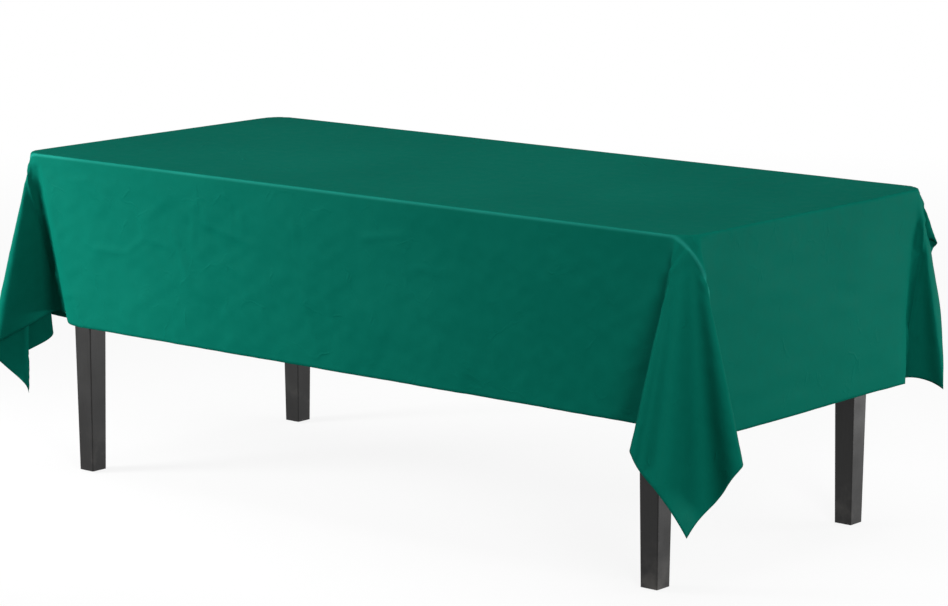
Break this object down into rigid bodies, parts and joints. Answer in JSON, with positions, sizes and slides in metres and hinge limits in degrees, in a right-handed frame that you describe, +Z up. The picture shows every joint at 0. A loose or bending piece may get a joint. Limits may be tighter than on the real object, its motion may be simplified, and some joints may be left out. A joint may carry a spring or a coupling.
{
  "type": "tablecloth on a table",
  "caption": "Plain green rectangular tablecloth draped over a dining table with tapered black legs; long front drop, short back drop, loose folds at the corners. The cloth lifts off.",
  "frame": {"origin": "middle of the floor area under the cloth, on the floor; the table's own middle is 51 mm behind it because the front folds reach out further than the back ones", "axes": "+X along the table to the right, -Y to the front where the cloth hangs lowest, +Z up"},
  "size_m": [2.1879, 1.0487, 0.75],
  "materials": {
    "cloth": "smooth semi-matt dark green film with a soft sheen",
    "board": "dark stained board, satin",
    "black_paint": "black satin paint on wood",
    "raw_wood": "planed, unfinished",
    "zinc_steel": "zinc plated",
    "yellow_steel": "yellow zinc plated",
    "glide": "moulded nylon"
  },
  "bodies": {
    "table": {"table_top": "board", "cross_rail": "raw_wood", "front_apron": "black_paint", "back_apron": "black_paint", "right_apron": "black_paint", "left_apron": "black_paint", "leg_right_back": "black_paint", "foot_glide_right_back": "glide", "corner_bracket_right_back": "zinc_steel", "hanger_bolt_right_back": "zinc_steel", "washer_right_back": "zinc_steel", "nut_right_back": "zinc_steel", "bracket_screw_a_right_back": "yellow_steel", "bracket_screw_b_right_back": "yellow_steel", "leg_left_back": "black_paint", "foot_glide_left_back": "glide", "corner_bracket_left_back": "zinc_steel", "hanger_bolt_left_back": "zinc_steel", "washer_left_back": "zinc_steel", "nut_left_back": "zinc_steel", "bracket_screw_a_left_back": "yellow_steel", "bracket_screw_b_left_back": "yellow_steel", "leg_left_front": "black_paint", "foot_glide_left_front": "glide", "corner_bracket_left_front": "zinc_steel", "hanger_bolt_left_front": "zinc_steel", "washer_left_front": "zinc_steel", "nut_left_front": "zinc_steel", "bracket_screw_a_left_front": "yellow_steel", "bracket_screw_b_left_front": "yellow_steel", "leg_right_front": "black_paint", "foot_glide_right_front": "glide", "corner_bracket_right_front": "zinc_steel", "hanger_bolt_right_front": "zinc_steel", "washer_right_front": "zinc_steel", "nut_right_front": "zinc_steel", "bracket_screw_a_right_front": "yellow_steel", "bracket_screw_b_right_front": "yellow_steel", "top_clip_1": "zinc_steel", "clip_top_screw_1": "yellow_steel", "clip_side_screw_1": "yellow_steel", "top_clip_2": "zinc_steel", "clip_top_screw_2": "yellow_steel", "clip_side_screw_2": "yellow_steel", "top_clip_3": "zinc_steel", "clip_top_screw_3": "yellow_steel", "clip_side_screw_3": "yellow_steel", "top_clip_4": "zinc_steel", "clip_top_screw_4": "yellow_steel", "clip_side_screw_4": "yellow_steel", "top_clip_5": "zinc_steel", "clip_top_screw_5": "yellow_steel", "clip_side_screw_5": "yellow_steel", "top_clip_6": "zinc_steel", "clip_top_screw_6": "yellow_steel", "clip_side_screw_6": "yellow_steel", "rail_screw_front": "yellow_steel", "rail_screw_back": "yellow_steel"},
    "cloth": {"tablecloth": "cloth"}
  },
  "joints": [
    {"name": "cloth_lift", "type": "slide", "parent": "table", "child": "cloth", "axis": [0, 0, 1], "range_m": [0, 0.65]}
  ]
}
